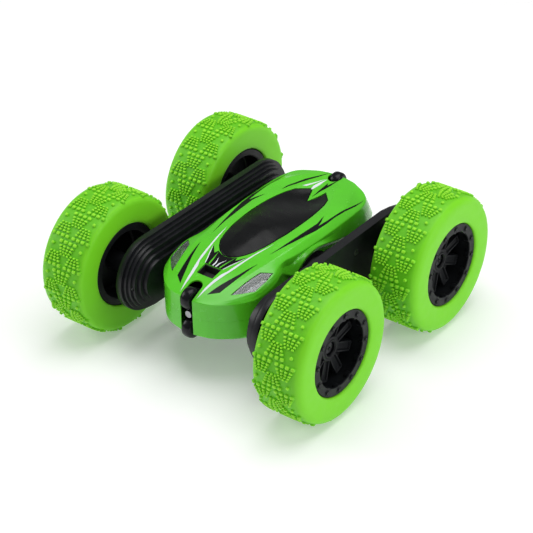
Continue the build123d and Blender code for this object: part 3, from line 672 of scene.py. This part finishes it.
def outer_skin():
    """The shell's smooth outer surface, before anything is cut into it."""
    points, faces = shell_cage()
    mesh = mesh_of("skin", [at(*point) for point in points], faces)
    made = new_object("skin", mesh)
    shape = bmesh.new()
    shape.from_mesh(mesh)
    bmesh.ops.remove_doubles(shape, verts=shape.verts, dist=WELD_DISTANCE * MM)
    bmesh.ops.dissolve_degenerate(shape, edges=shape.edges, dist=WELD_DISTANCE / 2 * MM)
    bmesh.ops.recalc_face_normals(shape, faces=shape.faces)
    shape.to_mesh(mesh)
    shape.free()
    modifier = made.modifiers.new("smooth", "SUBSURF")
    modifier.levels = modifier.render_levels = 1
    apply_modifiers(made)
    return made


SKIN = outer_skin()


def skin_tree():
    """The skin as a tree that rays can be cast on."""
    shape = bmesh.new()
    shape.from_mesh(SKIN.data)
    tree = BVHTree.FromBMesh(shape)
    shape.free()
    return tree


SKIN_TREE = skin_tree()


def on_skin(x, y):
    """The point of the upper skin above (x, y)."""
    hit = SKIN_TREE.ray_cast(at(x, y, 40), Vector((0, 0, -1)))[0]
    if hit is None:
        raise ValueError(f"nothing of the shell is above {x}, {y}")
    return hit


def skin_height(x, y):
    return on_skin(x, y).z / MM - AXLE_Z


# The shell's thickness and what is cut through it. The canopy's outline is its left half.
CANOPY_OUTLINE = [(29.5, 0.0), (29.3, 2.2), (28.0, 4.6), (25.6, 6.9), (22.5, 8.8), (17.0, 10.4),
                  (11.0, 11.5), (3.0, 12.3), (-4.8, 12.6), (-11.0, 12.5), (-16.0, 12.2), (-22.0, 11.5),
                  (-27.0, 10.6), (-32.0, 9.0), (-38.0, 3.6), (-28.4, 0.0)]
LENS_OUTLINE = [(47.2, 15.8), (44.2, 18.9), (39.6, 22.9), (32.6, 23.6), (27.0, 23.2), (30.9, 19.2),
                (39.5, 17.2)]
SCOOP = [(38.3, -4.5), (44.6, -4.3), (44.6, 4.3), (38.3, 4.5)]
SLOT_HALF = 3.2          # half the width of the slots that the bumpers' bars stand in
FRONT_SLOT, REAR_SLOT = 47.6, -46.9
ARCH_DISC, ARCH_BAR_END, ARCH_BAR_HALF = 10.95, 9.5, 7.55
ARCH_ACROSS = (19.0, 30.0)
SHELL_THICK = 1.3
CANOPY_GAP = 0.28
OVER, UNDER = 30, -30    # heights beyond the shell
SHELL_SCREWS = [(x, y) for x in (44.0, -46.0) for y in (12.0, -12.0)]
SCREW_WELL = 2.1
SWITCH_X, SWITCH_HALF = (-46.9, -38.1), 3.3
SURROUND_WIDTH, SURROUND_LOW, SURROUND_HIGH = 1.0, -16.3, -13.2


def both_sides(outline):
    """A whole outline from its left half, which starts and ends on the centre line."""
    return outline + [(x, -y) for x, y in outline[-2:0:-1]]


def grown(outline, amount):
    """An outline moved outward by amount."""
    count = len(outline)
    area = sum(outline[i][0] * outline[(i + 1) % count][1] - outline[(i + 1) % count][0] * outline[i][1]
               for i in range(count))
    sign = 1 if area > 0 else -1
    moved = []
    for i in range(count):
        before, here, after = (Vector(outline[(i + k) % count]) for k in (-1, 0, 1))
        first, second = (here - before).normalized(), (after - here).normalized()
        normal_a = Vector((first.y, -first.x)) * sign
        normal_b = Vector((second.y, -second.x)) * sign
        middle = (normal_a + normal_b).normalized()
        moved.append(tuple(here + middle * (amount / max(0.45, middle.dot(normal_a)))))
    return moved


def arc(x, radius, start, stop, count):
    """Points round a centre on the first axis, from start to stop in degrees."""
    turns = np.radians(np.linspace(start, stop, count))
    return [(x + radius * math.cos(turn), radius * math.sin(turn)) for turn in turns]


def slot_outline(start, stop):
    """A bumper slot: round at start and open at stop."""
    way = 1 if stop > start else -1
    centre = start + way * SLOT_HALF
    bend = [(centre - way * x, y) for x, y in arc(0, SLOT_HALF, -90, 90, 13)]
    return bend + [(stop, SLOT_HALF), (stop, -SLOT_HALF)]


def arch_outline():
    """The opening round the pivot: a disc on a bar with round ends."""
    meet = math.degrees(math.asin(ARCH_BAR_HALF / ARCH_DISC))
    over = arc(0, ARCH_DISC, meet, 180 - meet, 25)
    under = [(-x, -h) for x, h in over]
    return (over + arc(-ARCH_BAR_END, ARCH_BAR_HALF, 90, 270, 19)
            + under + arc(ARCH_BAR_END, ARCH_BAR_HALF, -90, 90, 19))


def solid_shell():
    """The upper shell with its thickness and every opening."""
    made = new_object("upper_shell_moulding", SKIN.data.copy())
    modifier = made.modifiers.new("thick", "SOLIDIFY")
    modifier.thickness = SHELL_THICK * MM
    modifier.offset = -1
    modifier.use_even_offset = True
    modifier.thickness_clamp = 1.0
    apply_modifiers(made)
    cut_upright(made, grown(both_sides(CANOPY_OUTLINE), CANOPY_GAP), 8, OVER)
    for side in (1, -1):
        cut_upright(made, LENS_OUTLINE, 4, OVER, side)
        cut(made, slab_object("tool", arch_outline(), *sorted(side * y for y in ARCH_ACROSS)))
    cut_upright(made, slot_outline(FRONT_SLOT, 62.0), -2, OVER)
    cut_upright(made, slot_outline(REAR_SLOT, -62.0), -2, OVER)
    cut_upright(made, SCOOP, 8, OVER)
    soften(made.data, 32)
    return made


def mirrored_down(made, name):
    """A copy of an object for the car's lower face."""
    mesh = made.data.copy()
    mesh.transform(Matrix.Translation((0, 0, 2 * AXLE_Z * MM)) @ Matrix.Scale(-1, 4, (0, 0, 1)))
    mesh.flip_normals()
    return new_object(name, mesh)


def shells():
    """The upper shell, and the lower one with its screw wells and switch window."""
    upper = solid_shell()
    lower = mirrored_down(upper, "lower_shell_moulding")
    for x, y in SHELL_SCREWS:
        cut_upright(lower, circle(x, y, SCREW_WELL), UNDER, -6)
    window = [(SWITCH_X[0], -SWITCH_HALF), (SWITCH_X[1], -SWITCH_HALF), (SWITCH_X[1], SWITCH_HALF),
              (SWITCH_X[0], SWITCH_HALF)]
    cut_upright(lower, window, UNDER, -6)
    soften(lower.data, 32)
    wells = [screw_well(x, y) for x, y in SHELL_SCREWS]
    finish_piece(joined("screw_wells", wells), "body_green", "body")
    surround = frame_ring("switch_surround", window, SURROUND_WIDTH, SURROUND_LOW, SURROUND_HIGH)
    finish_piece(surround, "body_green", "body")
    finish_piece(upper, "body_green", "body", "upper_shell")
    finish_piece(lower, "body_green", "body", "lower_shell")


def joined(name, pieces):
    """One object from several whose places are all the same."""
    shape = bmesh.new()
    for piece in pieces:
        shape.from_mesh(piece.data)
        bpy.data.objects.remove(piece)
    mesh = bpy.data.meshes.new(name)
    shape.to_mesh(mesh)
    shape.free()
    return new_object(name, mesh)


def screw_well(x, y):
    """The tube in the lower shell that a shell screw's head sits in."""
    depth = skin_height(x, y) - 0.25
    profile = [(SCREW_WELL, -depth), (SCREW_WELL + 0.8, -depth), (SCREW_WELL + 0.8, -8.0), (1.0, -8.0),
               (1.0, -8.5), (SCREW_WELL, -8.6)]
    points, faces = revolved([(h, r) for r, h in profile], 40)
    return smooth_object("well", [at(x + px, y + pz, h) for px, h, pz in points], faces)


def frame_ring(name, outline, width, low, high):
    """A flat frame round an opening."""
    inner, outer = grown(outline, 0.05), grown(outline, width)
    count = len(outline)
    points = [at(x, y, h) for h in (low, high) for ring in (inner, outer) for x, y in ring]
    faces = []
    for here, there in ((0, 1), (1, 3), (3, 2), (2, 0)):
        faces += band(here * count, there * count, count)
    made = smooth_object(name, points, faces)
    bevel(made, 0.3, 3)
    return made


# ---- canopy and battery door
# Height of the canopy along its middle, from its rear tip forward.
CANOPY_CROWN = [(-38, 14.9), (-28.4, 15.0), (-22, 16.0), (-15, 17.6), (-8, 19.0), (0, 20.1), (8, 20.4),
                (16, 19.6), (22, 18.4), (26, 17.2), (29.5, 15.5)]
CROWN_SHARE = 0.4        # of the half width, out to the crease
CROWN_FALL = 0.14        # of the whole fall, up to the crease
SHARP_X = (2.0, 10.0)    # the sides are curved behind the first and straight in front of the second
CANOPY_THICK = 2.2
DOOR_SCREW_HOLE = 1.75


def canopy_half_width(x):
    points = sorted(CANOPY_OUTLINE[:-1])
    return float(np.interp(x, [p[0] for p in points], [p[1] for p in points]))


def canopy_height(x, y):
    """A flat-topped blister: a spine, then sides that fall to the skin at the outline."""
    half = max(canopy_half_width(x), 0.5)
    share = min(1.0, abs(y) / half)
    edge = skin_height(x, half)
    crown = float(np.interp(x, [p[0] for p in CANOPY_CROWN], [p[1] for p in CANOPY_CROWN]))
    sharp = min(1.0, max(0.0, (x - SHARP_X[0]) / (SHARP_X[1] - SHARP_X[0])))
    beyond = max(0.0, (share - CROWN_SHARE) / (1 - CROWN_SHARE))
    side = sharp * beyond + (1 - sharp) * beyond ** 1.3
    fall = CROWN_FALL * min(1.0, share / CROWN_SHARE) ** 2 + (1 - CROWN_FALL) * side
    return crown + (edge + 0.1 - crown) * fall


def filled(outline, spacing):
    """A triangulated area inside an outline, with points every spacing: (points, triangles)."""
    edge = []
    for i, start in enumerate(outline):
        stop = outline[(i + 1) % len(outline)]
        long = math.dist(start, stop)
        parts = max(1, round(long / spacing))
        edge += [tuple(Vector(start).lerp(Vector(stop), k / parts)) for k in range(parts)]
    xs, ys = [p[0] for p in edge], [p[1] for p in edge]
    inner = []
    x = min(xs) + spacing / 2
    while x < max(xs):
        y = min(ys) + spacing / 2
        while y < max(ys):
            if inside(x, y, edge) and min(math.dist((x, y), p) for p in edge) > 0.6 * spacing:
                inner.append((x, y))
            y += spacing
        x += spacing
    loops = [(i, (i + 1) % len(edge)) for i in range(len(edge))]
    made = geometry.delaunay_2d_cdt([Vector(p) for p in edge + inner], loops, [], 1, 1e-5)
    return [tuple(p) for p in made[0]], [tuple(face) for face in made[2]]


def inside(x, y, ring):
    """Whether (x, y) is inside a ring of points."""
    odd = False
    for i in range(len(ring)):
        (x1, y1), (x2, y2) = ring[i - 1], ring[i]
        if (y1 > y) != (y2 > y) and x < (x2 - x1) * (y - y1) / (y2 - y1) + x1:
            odd = not odd
    return odd


def thick_cap(name, outline, spacing, height, bottom):
    """A closed solid with a curved top and bottom: height and bottom give h at (x, y)."""
    flat, triangles = filled(outline, spacing)
    count = len(flat)
    points = [at(x, y, height(x, y)) for x, y in flat] + [at(x, y, bottom(x, y)) for x, y in flat]
    faces = triangles + [tuple(count + i for i in face[::-1]) for face in triangles]
    edges = [(face[i], face[(i + 1) % 3]) for face in triangles for i in range(3)]
    known = set(edges)
    faces += [(b, a, count + a, count + b) for a, b in edges if (b, a) not in known]
    return smooth_object(name, points, faces, 40)


def canopies():
    """The canopy, and the battery door that mirrors it, with a hole over its screw."""
    upper = thick_cap("canopy_blister", both_sides(CANOPY_OUTLINE), 1.0, canopy_height,
                      lambda x, y: canopy_height(x, y) - CANOPY_THICK)
    bevel(upper, 0.35, 3, 45)
    lower = mirrored_down(upper, "battery_door_blister")
    screw_low, screw_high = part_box("battery_door_screw")
    ring = circle((screw_low.x + screw_high.x) / 2 / MM, 0.0, DOOR_SCREW_HOLE, 40)
    cut_upright(lower, ring, UNDER, screw_low.z / MM - AXLE_Z + 0.9)
    for made, node in ((upper, "upper_canopy"), (lower, "battery_door")):
        soften(made.data, 40)
        finish_piece(made, "canopy_black", "body", node)


# ---- headlights and scoop
LENS_GAP = 0.08
LENS_TOP, LENS_BOTTOM = 0.05, 0.75  # below the skin


def cup(name, outline, rim_drop, inset, floor_drop):
    """A thin dish under the skin: its rim rim_drop below it and its floor, inset from the rim, lower."""
    inner, floor = grown(outline, -0.35), grown(outline, -inset)
    count = len(outline)
    points = []
    for ring, drop in ((outline, rim_drop), (inner, rim_drop), (floor, floor_drop),
                       (outline, floor_drop + 0.5)):
        points += [on_skin(x, y) - Vector((0, 0, drop * MM)) for x, y in ring]
    faces = [tuple(range(2 * count, 3 * count)), tuple(range(3 * count, 4 * count))]
    for low, high in ((0, 1), (1, 2), (0, 3)):
        faces += band(low * count, high * count, count)
    return smooth_object(name, points, faces, 25)


def headlights():
    """Clear covers level with the skin, each over its own reflector."""
    lenses, dishes = [], []
    for side in (1, -1):
        outline = [(x, side * y) for x, y in grown(LENS_OUTLINE, -LENS_GAP)]
        lens = thick_cap("lens", grown(outline, -0.1), 1.2, lambda x, y: skin_height(x, y) - LENS_TOP,
                         lambda x, y: skin_height(x, y) - LENS_BOTTOM)
        dish = cup("dish", outline, 0.8, 1.5, 2.6)
        lenses += [lens, mirrored_down(lens, "lens")]
        dishes += [dish, mirrored_down(dish, "dish")]
    finish_piece(joined("headlight_covers", lenses), "lens_clear", "body", "headlight_lenses")
    finish_piece(joined("headlight_reflectors", dishes), "screw_steel", "body", material=REFLECTOR)


def scoops():
    """The dark tray in the hood's opening, above and below."""
    upper = cup("scoop_tray", grown(SCOOP, -0.04), 0.5, 0.5, 3.6)
    finish_piece(upper, "chassis_plastic", "body")
    finish_piece(mirrored_down(upper, "lower_scoop_tray"), "chassis_plastic", "body")


# ---- printed graphics, as outlines of (x, y) seen from above
WHITE_STRIPE = [(55.6, 4.5), (50.0, 4.7), (45.4, 5.3), (40.9, 6.3), (38.4, 7.5), (33.9, 8.3), (28.0, 9.6),
                (21.3, 10.9), (13.0, 12.7), (20.0, 11.7), (28.7, 10.2), (35.6, 9.1), (40.8, 7.8),
                (46.0, 6.5), (51.0, 5.5)]
HOOD_STRIPE = [(52.0, 7.3), (44.8, 9.8), (36.9, 12.8), (31.7, 14.3), (28.0, 15.5), (35.6, 14.3),
               (43.4, 12.7), (48.7, 11.5)]
SIDE_STRIPE = [(19.4, 15.6), (13.2, 16.3), (6.9, 16.8), (0.1, 17.2), (-5.5, 17.5), (-11.9, 17.8),
               (-18.9, 16.4), (-14.2, 18.3), (-10.8, 19.3), (-17.0, 19.8), (-25.7, 20.2), (-32.6, 20.6),
               (-42.6, 21.3), (-36.0, 21.5), (-28.4, 21.0), (-21.3, 20.8), (-15.0, 21.0), (-7.4, 20.6),
               (-0.5, 19.4), (6.5, 18.1), (12.2, 17.0)]
FLAME = [(38.2, 0.0), (38.2, 4.5), (35.6, 5.4), (32.4, 6.7), (26.8, 9.0), (30.8, 5.6), (28.6, 5.0),
         (29.7, 2.6), (29.95, 0.0)]
FLAME_EDGE = [(38.1, 4.6), (35.4, 5.5), (32.3, 6.8), (27.0, 9.1), (32.2, 7.3), (35.2, 6.0), (38.1, 4.95)]
FLAME_GREEN = [(37.9, 2.5), (34.5, 3.1), (29.0, 4.6), (34.5, 3.7), (37.9, 3.2)]
FLAME_WHITE = [(38.0, 0.5), (35.6, 0.55), (31.8, 2.2), (35.4, 1.2), (38.0, 1.1)]
TAIL_LINE = [(-27.3, -12.95), (-31.6, -12.9), (-36.0, -11.6), (-41.3, -10.0), (-46.4, -7.1), (-52.3, -4.2),
             (-46.6, -6.1), (-42.0, -8.3), (-37.1, -10.1), (-31.4, -12.1)]
TAIL_BARB = [(-32.9, -0.3), (-39.0, -0.5), (-45.2, -0.1), (-43.4, 0.7), (-47.6, 2.5), (-51.8, 3.65),
             (-44.2, 2.3), (-38.5, 0.5)]
TAIL_STROKES = ([(-36.2, -7.9), (-40.2, -5.9), (-46.9, -2.6), (-41.5, -4.7), (-37.2, -6.4)],
                [(-36.9, -3.8), (-39.6, -4.2), (-43.2, -3.4), (-47.3, -1.9), (-42.2, -2.4), (-37.4, -3.2)])


def graphic(outline, lift):
    """A film of ink that follows the skin."""
    return thick_cap("ink", outline, 0.9, lambda x, y: skin_height(x, y) + lift,
                     lambda x, y: skin_height(x, y) - 0.12)


def both(outline):
    """An outline and its mirror image."""
    return [outline, [(x, -y) for x, y in outline]]


def graphics():
    """Every film, above and below. The flames' inks lie over the others."""
    black = [TAIL_LINE, TAIL_BARB] + both(HOOD_STRIPE) + both(SIDE_STRIPE) + both(FLAME)
    white = list(TAIL_STROKES) + both(WHITE_STRIPE) + both(FLAME_EDGE)
    inks = (("black", "canopy_black", black, 0.08), ("white", "lamp_white", white, 0.1),
            ("white_flames", "lamp_white", both(FLAME_WHITE), 0.12),
            ("green_flames", "body_green", both(FLAME_GREEN), 0.12))
    for name, slot, outlines, lift in inks:
        upper = joined(f"{name}_graphics", [graphic(outline, lift) for outline in outlines])
        finish_piece(upper, slot, "body")
        finish_piece(mirrored_down(upper, f"lower_{name}_graphics"), slot, "body")


# ---- bumpers
# Half the section of a bumper's round end, as (across, radius), for a radius of BUMPER_RADIUS.
BUMPER_HALF = [(2.2, 0), (2.2, 1.6), (2.45, 2.4), (2.6, 3.3), (2.45, 4.1), (1.9, 4.7), (1.0, 4.97)]
BUMPER_RADIUS = 5.0
# Front and rear: (x, h, radius) of the upper end, the bar's upper half as (x, h), and half its width.
BUMPERS = (((54.2, 7.2, 4.9), [(55.0, 3.0), (54.0, 8.8), (48.4, 9.6)], 2.2),
           ((-52.6, 14.2, 4.4), [(-53.3, 8.0), (-52.6, 14.0), (-49.4, 14.0)], 2.3))


def bumper_end(x, h, radius):
    """A rounded, slightly dished wheel of rubber, standing upright along the car."""
    section = [(-y, r) for y, r in BUMPER_HALF] + [(0, BUMPER_RADIUS)] + BUMPER_HALF[::-1]
    points, faces = disc_solid([(y, r * radius / BUMPER_RADIUS) for y, r in section], 64)
    return smooth_object("bumper_end", [at(x + px, y, h + pz) for px, y, pz in points], faces, 40)


def bumper_bar(upper_half, half_width):
    """The upright bar that joins a bumper's two ends."""
    outline = [(x, -h) for x, h in reversed(upper_half)] + upper_half
    made = slab_object("bumper_bar", outline, -half_width, half_width)
    bevel(made, 0.9, 3)
    return made


def bumpers():
    """An end above and an end below on one bar, at the nose and at the tail."""
    parts = []
    for (x, h, radius), upper_half, half_width in BUMPERS:
        parts += [bumper_end(x, side * h, radius) for side in (1, -1)]
        parts.append(bumper_bar(upper_half, half_width))
    finish_piece(joined("bumper_mouldings", parts), "bumper_black", "body", "bumpers")


# ---- camera, floor and light, in degrees, metres and watts
AZIMUTH, ELEVATION, ROLL = 37.767, 32.478, -1.002
CAMERA_DISTANCE = 0.773109
CAMERA_TARGET = (0.001806, 0, 0.028362)
LENS, SENSOR = 117.82, 36.0  # millimetres
FLOOR_HALF = 3
FLOOR_GLOW = 0.22
WORLD_STRENGTH = 0.26
LIGHT_TARGET = (0, 0, 0.03)
# Each square softbox: its place, its side and its power.
SOFTBOXES = {
    "top_light": ((-0.1, 0.05, 0.9), 0.8, 5.8),
    "left_light": ((-0.15, 0.95, 0.35), 0.5, 3.6),
    "front_light": ((0.4, -0.85, 0.5), 0.5, 3.3),
}


def camera():
    """A long lens, above the front left corner."""
    azimuth, elevation, roll = (math.radians(a) for a in (AZIMUTH, ELEVATION, ROLL))
    back = Vector((math.cos(elevation) * math.cos(azimuth), math.cos(elevation) * math.sin(azimuth),
                   math.sin(elevation)))
    right = Vector((0, 0, 1)).cross(back).normalized()
    up = back.cross(right)
    tilted_right = right * math.cos(roll) + up * math.sin(roll)
    tilted_up = up * math.cos(roll) - right * math.sin(roll)
    data = bpy.data.cameras.new("camera")
    data.sensor_width = SENSOR
    data.lens = LENS
    data.clip_start = 0.05
    made = new_object("camera", data)
    turn = Matrix((tilted_right, tilted_up, back)).transposed().to_4x4()
    made.matrix_world = Matrix.Translation(Vector(CAMERA_TARGET) + back * CAMERA_DISTANCE) @ turn
    bpy.context.scene.camera = made


def softbox(name, place, side, power):
    """A square area light turned to the car."""
    data = bpy.data.lights.new(name, "AREA")
    data.shape = "SQUARE"
    data.size = side
    data.energy = power
    made = new_object(name, data)
    made.location = place
    made.rotation_euler = (Vector(LIGHT_TARGET) - Vector(place)).to_track_quat("-Z", "Y").to_euler()


def studio():
    """A pale floor under soft light from above and from both sides."""
    points = [(FLOOR_HALF * x, FLOOR_HALF * y, 0) for x, y in ((-1, -1), (1, -1), (1, 1), (-1, 1))]
    floor = new_object("floor", mesh_of("floor", points, [(0, 1, 2, 3)]))
    paper, tree, shader, place = principled("paper", (0.86, 0.86, 0.86), 0.8)
    set_inputs(shader, {"Roughness": remap(tree, noise(tree, place, 0.02), 0.75, 0.85),
                        "Emission Color": (1, 1, 1, 1), "Emission Strength": FLOOR_GLOW})
    floor.data.materials.append(paper)
    world = bpy.data.worlds.new("studio")
    world.use_nodes = True
    set_inputs(world.node_tree.nodes["Background"], {"Color": (1, 1, 1, 1), "Strength": WORLD_STRENGTH})
    bpy.context.scene.world = world
    bpy.context.scene.view_settings.view_transform = "Standard"
    for name, light in SOFTBOXES.items():
        softbox(name, *light)


CASE_ROUND, CHASSIS_ROUND = 0.3, 0.2


def cad_materials():
    """Every CAD node that still shows gets its slot's material, but the hub screws a darker steel as
    painted shade; the cases and the chassis also get softened edges.
    """
    for part in frame["record"]["subparts"]:
        made = frame["nodes"][part["node"]]
        if made.hide_render:
            continue
        made.data.materials.clear()
        # The hub screws get the darker steel, as painted shade for their recess.
        hub = part["node"].endswith("hub_screw")
        made.data.materials.append(HUB_SCREW_PAINTED_SHADE if hub else MATERIALS[part["material_slot"]])
        if part["node"].endswith("_case"):
            round_edges(made, CASE_ROUND)
        elif part["node"] == "chassis":
            round_edges(made, CHASSIS_ROUND)


def round_edges(made, width):
    """Welds a CAD piece's split faces and rounds its sharp edges."""
    weld = made.modifiers.new("weld", "WELD")
    weld.merge_threshold = 0.002 * MM
    edge = made.modifiers.new("round", "BEVEL")
    edge.width = width * MM
    edge.segments = 2
    edge.limit_method = "ANGLE"
    edge.angle_limit = math.radians(40)


wheels()
shells()
canopies()
headlights()
scoops()
graphics()
bumpers()
bpy.data.objects.remove(SKIN)
cad_materials()
studio()
camera()
